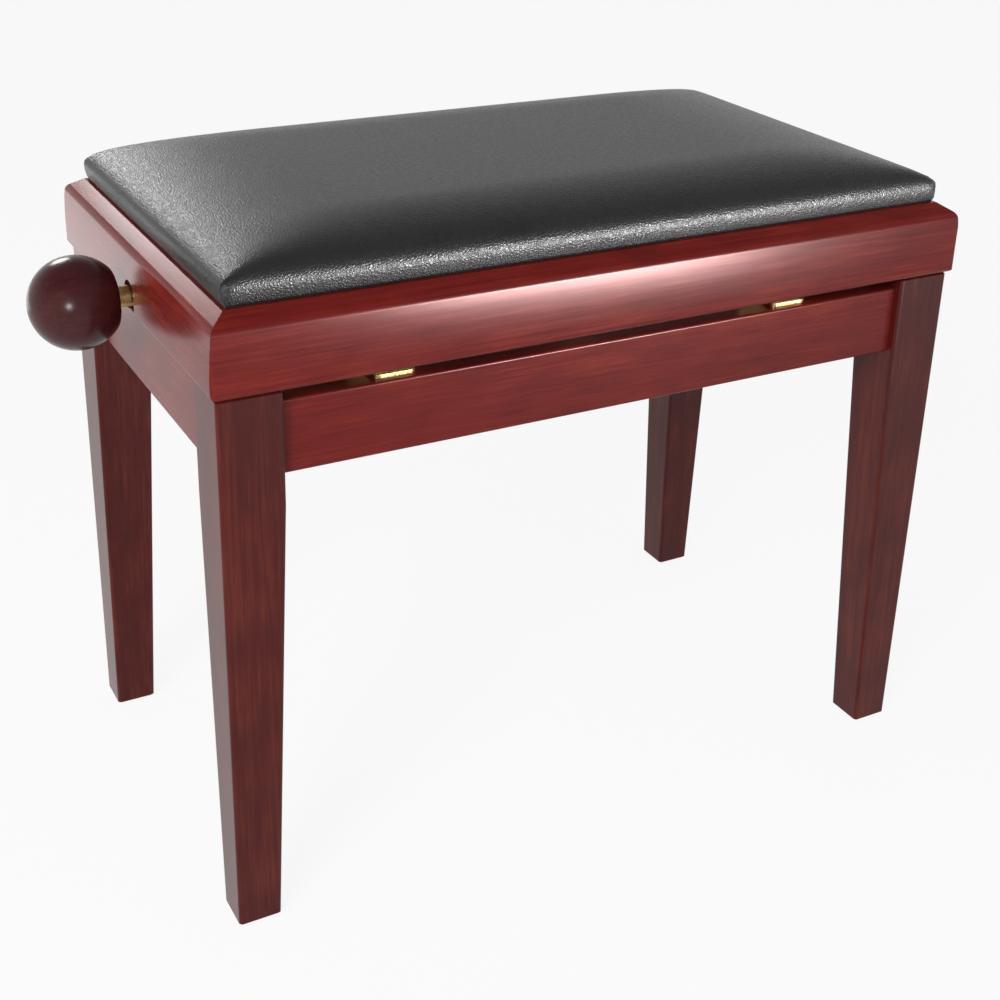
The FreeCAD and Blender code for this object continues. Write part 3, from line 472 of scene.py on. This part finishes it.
def close_pad(points, faces, rim):
    """Adds the hem, the step round the board and the flat bottom on the board."""
    hem_edge = PAD_TUCK + HEM
    board_edge = pad_half_x - (board_high.x - board_low.x) / 2 - SKIN_GAP
    under_board = board_low.z - SKIN_GAP
    levels = [
        (hem_edge, cover_low.z + SKIN_GAP),
        (hem_edge, under_board),
        (board_edge, under_board),
        (board_edge, board_high.z + SKIN_GAP),
    ]
    upper = rim
    for inset, z in levels:
        lower = []
        for at in rim:
            lower.append(len(points))
            points.append(drawn_in(points[at], inset, z))
        faces += band(upper, lower)
        upper = lower
    faces.append(tuple(upper))
    return points, faces


def make_cushion():
    points, faces, rim, held = pad_skin()
    points = stretched_skin(points, faces, held)
    points = tucked(points)
    points, faces = close_pad(points, faces, rim)
    cushion = new_piece("cushion", solid_from(points, faces), "seat", "leatherette")
    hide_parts("seat_cover", "seat_foam")


make_cushion()


# Screws, rivets, thread and staples

SAME_POINT = 0.001 * MILLIMETRE
SHARP_ANGLE = math.radians(35)


def islands(name):
    """Low and high corners of each separate solid of a CAD node."""
    shape = bmesh.new()
    shape.from_mesh(nodes[name].data)
    bmesh.ops.remove_doubles(shape, verts=shape.verts, dist=SAME_POINT)
    boxes = []
    waiting = set(shape.verts)
    while waiting:
        group = [waiting.pop()]
        for vertex in group:
            for edge in vertex.link_edges:
                other = edge.other_vert(vertex)
                if other in waiting:
                    waiting.remove(other)
                    group.append(other)
        spots = [vertex.co for vertex in group]
        low = Vector(tuple(min(spot[k] for spot in spots) for k in range(3)))
        high = Vector(tuple(max(spot[k] for spot in spots) for k in range(3)))
        boxes.append((low, high))
    shape.free()
    return sorted(boxes, key=lambda box: tuple(box[0]))


def turned(profile, steps=36):
    """Points and faces of a closed solid of revolution about Z; the profile starts and ends on the axis."""
    points = [(0, 0, profile[0][1])]
    faces = []
    middle = profile[1:-1]
    for radius, z in middle:
        for step in range(steps):
            turn = 2 * math.pi * step / steps
            points.append((radius * math.cos(turn), radius * math.sin(turn), z))
    last = len(points)
    points.append((0, 0, profile[-1][1]))
    for step in range(steps):
        following = (step + 1) % steps
        faces.append((0, 1 + following, 1 + step))
        for level in range(len(middle) - 1):
            near, far = 1 + level * steps, 1 + (level + 1) * steps
            faces.append((near + step, near + following, far + following, far + step))
        top = 1 + (len(middle) - 1) * steps
        faces.append((top + step, top + following, last))
    return points, faces


def cap(radius, height, steps=6):
    """A dome's profile from its top on the axis at z = 0 down to its rim."""
    ball = (radius ** 2 + height ** 2) / (2 * height)
    sweep = math.asin(radius / ball)
    turns = [sweep * step / steps for step in range(steps + 1)]
    return [(ball * math.sin(turn), ball * (1 - math.cos(turn))) for turn in turns]


def joined(name, shapes, body, slot):
    """One piece from several placed meshes."""
    points, faces = [], []
    for mesh, place in shapes:
        start = len(points)
        points += [place @ vertex.co for vertex in mesh.vertices]
        faces += [tuple(start + k for k in polygon.vertices) for polygon in mesh.polygons]
    piece = new_piece(name, mesh_from(points, faces), body, slot)
    piece.data.set_sharp_from_angle(angle=SHARP_ANGLE)
    return piece


def cut_by(mesh, cutter):
    """A mesh with another cut out of it."""
    pair = [bpy.data.objects.new("trial", shape) for shape in (mesh, cutter)]
    for trial in pair:
        scene.collection.objects.link(trial)
    difference = pair[0].modifiers.new("cut", "BOOLEAN")
    difference.operation = "DIFFERENCE"
    difference.object = pair[1]
    shown = pair[0].evaluated_get(bpy.context.evaluated_depsgraph_get())
    result = bpy.data.meshes.new_from_object(shown)
    for trial in pair:
        bpy.data.objects.remove(trial)
    return result


SCREW_HEAD = 2.2 * MILLIMETRE
SCREW_DOME = 0.6 * SCREW_HEAD
SCREW_TURN = 0.7
RECESS_ARM = 2.3 * MILLIMETRE
RECESS_WIDTH = 0.85 * MILLIMETRE
RECESS_DEPTH = 1.5 * MILLIMETRE
RECESS_TAPER = 0.55


def screw_mesh(radius, length):
    """A pan-headed screw with a cross recess, its head's top at z = 0 and its point at z = length."""
    shank = radius / 2
    profile = cap(radius, SCREW_DOME)
    profile += [(radius, SCREW_HEAD), (shank, SCREW_HEAD), (shank, length - 2 * shank), (0, length)]
    screw = solid_from(*turned(profile))
    arm, half = RECESS_ARM, RECESS_WIDTH / 2
    outline = [
        (arm, half), (half, half), (half, arm), (-half, arm), (-half, half), (-arm, half),
        (-arm, -half), (-half, -half), (-half, -arm), (half, -arm), (half, -half), (arm, -half),
    ]
    count = len(outline)

    def tapered(value):
        return RECESS_TAPER * value if abs(value) > half else value

    points = [(x, y, -SCREW_HEAD) for x, y in outline]
    points += [(tapered(x), tapered(y), RECESS_DEPTH) for x, y in outline]
    faces = [(k, (k + 1) % count, count + (k + 1) % count, count + k) for k in range(count)]
    faces += [tuple(range(count))[::-1], tuple(range(count, 2 * count))]
    return cut_by(screw, solid_from(points, faces))


def make_screws(name, body):
    """Screws in the place of a CAD node's, each turned a little further than the last."""
    shapes = []
    mesh = None
    for count, (low, high) in enumerate(islands(name)):
        size, middle = high - low, (low + high) / 2
        if size.z > size.y:
            top, ahead = Vector((middle.x, middle.y, low.z)), UP
        elif middle.y < 0:
            top, ahead = Vector((middle.x, high.y, middle.z)), Vector((0, -1, 0))
        else:
            top, ahead = Vector((middle.x, low.y, middle.z)), Vector((0, 1, 0))
        mesh = mesh or screw_mesh(min(size) / 2, max(size))
        aim = ahead.to_track_quat("Z", "Y").to_matrix().to_4x4()
        turn = Matrix.Rotation(SCREW_TURN * count, 4, "Z")
        shapes.append((mesh, Matrix.Translation(top) @ aim @ turn))
    piece = joined("detailed_" + name, shapes, body, "steel")
    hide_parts(name)


RIVET_DOME = 2.5 * MILLIMETRE
RIVET_SHANK = 5.0 * MILLIMETRE


def make_rivets():
    """Domed rivets through the crossing arms."""
    shapes = []
    for low, high in islands("centre_rivets"):
        length, radius = high.y - low.y, (high.x - low.x) / 2
        near = cap(radius, RIVET_DOME)
        shank = [(RIVET_SHANK, RIVET_DOME), (RIVET_SHANK, length - RIVET_DOME)]
        far = [(r, length - z) for r, z in reversed(near)]
        mesh = solid_from(*turned(near + shank + far))
        start = Vector(((low.x + high.x) / 2, low.y, (low.z + high.z) / 2))
        shapes.append((mesh, Matrix.Translation(start) @ Matrix.Rotation(-math.pi / 2, 4, "X")))
    piece = joined("domed_rivets", shapes, "outer_arms", "steel")
    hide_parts("centre_rivets")


THREAD_PITCH = 2.0 * MILLIMETRE
THREAD_CORE = 6.0 * MILLIMETRE
THREAD_CREST = 6.8 * MILLIMETRE
THREAD_ROOT = THREAD_CORE - 0.08 * MILLIMETRE
THREAD_FLANKS = (-0.45, -0.07, 0.07, 0.45)
THREAD_FADED = 0.05
THREAD_RUNOUT = 8.0 * MILLIMETRE
THREAD_STEPS = 28
NUT_TRAVEL = 27.2 * MILLIMETRE


def thread(start, end, axis_y, axis_z):
    """A right-handed ridge round the spindle, fading out at both ends."""
    count = round((end - start) / THREAD_PITCH * THREAD_STEPS)
    root = THREAD_ROOT
    points, faces = [], []
    for step in range(count + 1):
        turn = 2 * math.pi * step / THREAD_STEPS
        x = start + (end - start) * step / count
        fade = min(1.0, step / THREAD_STEPS, (count - step) / THREAD_STEPS)
        crest = root + (THREAD_CREST - root) * max(fade, THREAD_FADED)
        for flank, radius in zip(THREAD_FLANKS, (root, crest, crest, root)):
            y = axis_y + radius * math.cos(turn)
            z = axis_z + radius * math.sin(turn)
            points.append((x + flank * THREAD_PITCH, y, z))
    for step in range(count):
        near, far = 4 * step, 4 * step + 4
        faces += [(near + k, near + (k + 1) % 4, far + (k + 1) % 4, far + k) for k in range(4)]
    faces += [(3, 2, 1, 0), tuple(4 * count + k for k in range(4))]
    return points, faces


def make_thread():
    """The thread on both sides of the stop nut, as long as the nut bar's travel needs."""
    spindle_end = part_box("spindle")[1].x
    nut_low, nut_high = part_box("stop_nut")
    bar_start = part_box("nut_bar")[0].x
    axis = (nut_low + nut_high) / 2
    start = bar_start - NUT_TRAVEL - THREAD_RUNOUT + THREAD_PITCH
    clear = THREAD_PITCH / 2
    runs = ((start, nut_low.x - clear), (nut_high.x + clear, spindle_end - clear))
    shapes = [(solid_from(*thread(*run, axis.y, axis.z)), Matrix.Identity(4)) for run in runs]
    joined("spindle_thread", shapes, "spindle", "yellow_zinc")


STAPLE_SPACING = 38 * MILLIMETRE
STAPLE_CROWN = 11 * MILLIMETRE
STAPLE_WIRE = 0.55 * MILLIMETRE
STAPLE_INSET = 17.5 * MILLIMETRE
STAPLE_FREE_END = 85 * MILLIMETRE
STAPLE_SINK = 0.3 * MILLIMETRE
STAPLE_LEG = 1.2 * STAPLE_WIRE
STAPLE_LEAN = 4
STAPLE_LEAN_STEP = 7.3
NEARLY_UPRIGHT = 1e-4


def tube(route, radius, sides=8):
    """A closed round wire along points that lie in one upright plane."""
    points, faces = [], []
    whole_side = (route[-1] - route[0]).cross(UP).normalized()
    for k, spot in enumerate(route):
        before, after = route[max(k - 1, 0)], route[min(k + 1, len(route) - 1)]
        ahead = (after - before).normalized()
        side = ahead.cross(UP)
        side = side.normalized() if side.length > NEARLY_UPRIGHT else whole_side
        up = side.cross(ahead)
        for step in range(sides):
            turn = 2 * math.pi * step / sides
            points.append(spot + radius * (side * math.cos(turn) + up * math.sin(turn)))
    for k in range(len(route) - 1):
        for step in range(sides):
            following = (step + 1) % sides
            near, far = k * sides, (k + 1) * sides
            faces.append((near + step, near + following, far + following, far + step))
    faces.append(tuple(range(sides))[::-1])
    faces.append(tuple((len(route) - 1) * sides + step for step in range(sides)))
    return points, faces


def make_staples():
    """Wire staples that hold the hem to the board, seen from below."""
    half, wire = STAPLE_CROWN / 2, STAPLE_WIRE
    route = [
        Vector((-half, 0, STAPLE_LEG)), Vector((-half, 0, 0)), Vector((-half + wire, 0, -wire)),
        Vector((half - wire, 0, -wire)), Vector((half, 0, 0)), Vector((half, 0, STAPLE_LEG)),
    ]
    staple = solid_from(*tube(route, wire))
    shapes = []
    hem_middle = Matrix.Translation((seat_centre.x, seat_centre.y, cover_low.z + STAPLE_SINK))
    for length, width, turn in ((pad_half_x, pad_half_y, 0.0), (pad_half_y, pad_half_x, math.pi / 2)):
        reach = length - STAPLE_FREE_END
        count = 2 * int(reach / STAPLE_SPACING) + 1
        for sign in (-1, 1):
            for k in range(count):
                lean = math.radians(STAPLE_LEAN * math.sin(STAPLE_LEAN_STEP * k + sign))
                spot = Vector((-reach + 2 * reach * k / (count - 1), sign * (width - STAPLE_INSET), 0))
                place = Matrix.Rotation(turn, 4, "Z") @ Matrix.Translation(spot)
                place = place @ Matrix.Rotation(lean, 4, "Z")
                shapes.append((staple, hem_middle @ place))
    joined("hem_staples", shapes, "seat", "steel")


make_screws("lower_bracket_screws", "base")
make_screws("upper_bracket_screws", "seat")
make_screws("seat_screws", "seat")
make_rivets()
make_thread()
make_staples()


# Floor, light and camera

FLOOR_REACH = 9.0
FLOOR_SIDES = 64
FLOOR_DROP = 0.2 * MILLIMETRE
FLOOR_WHITE = 0.9


def make_floor():
    """A round floor, nearly all white to the camera and in mirrors, with a faint shadow."""
    points = []
    for step in range(FLOOR_SIDES):
        turn = 2 * math.pi * step / FLOOR_SIDES
        points.append((FLOOR_REACH * math.cos(turn), FLOOR_REACH * math.sin(turn), -FLOOR_DROP))
    mesh = mesh_from(points, [tuple(range(FLOOR_SIDES))])
    floor = bpy.data.objects.new("floor", mesh)
    scene.collection.objects.link(floor)
    g = Graph("floor")
    rays = g.add("LightPath").outputs
    seen = g.math("MAXIMUM", rays["Is Camera Ray"], rays["Is Glossy Ray"])
    seen = g.math("MAXIMUM", seen, rays["Is Transmission Ray"])
    matt = g.add("BsdfDiffuse", {"Color": (0.9, 0.9, 0.9, 1)})
    white = g.add("Emission", {"Color": (1, 1, 1, 1), "Strength": 1.0})
    share = g.math("MULTIPLY", seen, FLOOR_WHITE)
    both = g.add("MixShader", {0: share, 1: matt.outputs[0], 2: white.outputs[0]})
    g.add("OutputMaterial", {"Surface": both.outputs[0]})
    mesh.materials.append(g.material)


def make_world():
    """White walls all round and a dim ceiling."""
    world = bpy.data.worlds.new("studio")
    world.use_nodes = True
    scene.world = world
    tree = world.node_tree
    tree.nodes.clear()
    links = tree.links
    coordinates = tree.nodes.new("ShaderNodeTexCoord")
    separate = tree.nodes.new("ShaderNodeSeparateXYZ")
    links.new(coordinates.outputs["Generated"], separate.inputs[0])
    height = tree.nodes.new("ShaderNodeMapRange")
    for key, value in (("From Min", 0.05), ("From Max", 0.75), ("To Min", 1.0), ("To Max", 0.2)):
        height.inputs[key].default_value = value
    links.new(separate.outputs["Z"], height.inputs["Value"])
    background = tree.nodes.new("ShaderNodeBackground")
    background.inputs["Color"].default_value = (1, 1, 1, 1)
    links.new(height.outputs["Result"], background.inputs["Strength"])
    output = tree.nodes.new("ShaderNodeOutputWorld")
    links.new(background.outputs[0], output.inputs["Surface"])


def softbox(name, place, target, size, brightness, shows_in):
    """A lamp panel aimed at a target, round where its width and height are the same.

    Its brightness is its radiance. It lights matt surfaces only ("colour") or shows in
    highlights only ("gloss").
    """
    data = bpy.data.lights.new(name, "AREA")
    data.shape = "DISK" if size[0] == size[1] else "RECTANGLE"
    data.size, data.size_y = size
    area = size[0] * size[1] * (math.pi / 4 if data.shape == "DISK" else 1)
    data.energy = brightness * math.pi * area
    lamp = bpy.data.objects.new(name, data)
    scene.collection.objects.link(lamp)
    lamp.location = place
    lamp.rotation_euler = (Vector(target) - Vector(place)).to_track_quat("-Z", "Y").to_euler()
    lamp.visible_camera = False
    lamp.visible_diffuse = shows_in == "colour"
    lamp.visible_glossy = shows_in == "gloss"


SEAT_MIDDLE = (0.03, 0.0, 0.38)
FRAME_PIXELS = 1000
FOCAL_PIXELS = 1593.2
CAMERA_PLACE = Vector((-0.49645, -0.9432, 0.7436))
CAMERA_AZIMUTH = math.radians(28.99)
CAMERA_ELEVATION = math.radians(23.13)
CAMERA_ROLL = math.radians(1.63)
CAMERA_SHIFT = (0.002, -0.12)


def make_camera():
    """The photo's view, with the frame moved a little down."""
    data = bpy.data.cameras.new("camera")
    data.sensor_width = 36.0
    data.sensor_fit = "HORIZONTAL"
    data.lens = FOCAL_PIXELS / FRAME_PIXELS * data.sensor_width
    data.shift_x, data.shift_y = CAMERA_SHIFT
    data.clip_start = 0.05
    camera = bpy.data.objects.new("camera", data)
    scene.collection.objects.link(camera)
    level = math.cos(CAMERA_ELEVATION)
    ahead = Vector((
        math.sin(CAMERA_AZIMUTH) * level,
        math.cos(CAMERA_AZIMUTH) * level,
        -math.sin(CAMERA_ELEVATION),
    ))
    right = Vector((math.cos(CAMERA_AZIMUTH), -math.sin(CAMERA_AZIMUTH), 0))
    up = right.cross(ahead)
    rolled_right = right * math.cos(CAMERA_ROLL) + up * math.sin(CAMERA_ROLL)
    rolled_up = up * math.cos(CAMERA_ROLL) - right * math.sin(CAMERA_ROLL)
    turn = Matrix((rolled_right, rolled_up, -ahead)).transposed()
    camera.matrix_world = Matrix.Translation(CAMERA_PLACE) @ turn.to_4x4()
    scene.camera = camera


make_floor()
make_world()
softbox("key", (-1.7, -1.4, 1.5), SEAT_MIDDLE, (1.0, 1.0), 15.0, "colour")
softbox("side_card", (-0.97, -1.22, 0.68), (-0.33, 0.0, 0.4), (0.26, 0.26), 45.0, "gloss")
softbox("front_card", (0.69, -1.36, 0.31), (0.01, -0.16, 0.31), (0.44, 0.36), 130.0, "gloss")
softbox("rear_card", (-0.27, 1.38, 1.04), (-0.27, 0.0, 0.43), (0.45, 0.45), 15.0, "gloss")
softbox("floor_card", (-0.8, 1.75, 0.003), (-0.8, 1.75, 1.0), (0.9, 1.5), 1.1, "gloss")
make_camera()
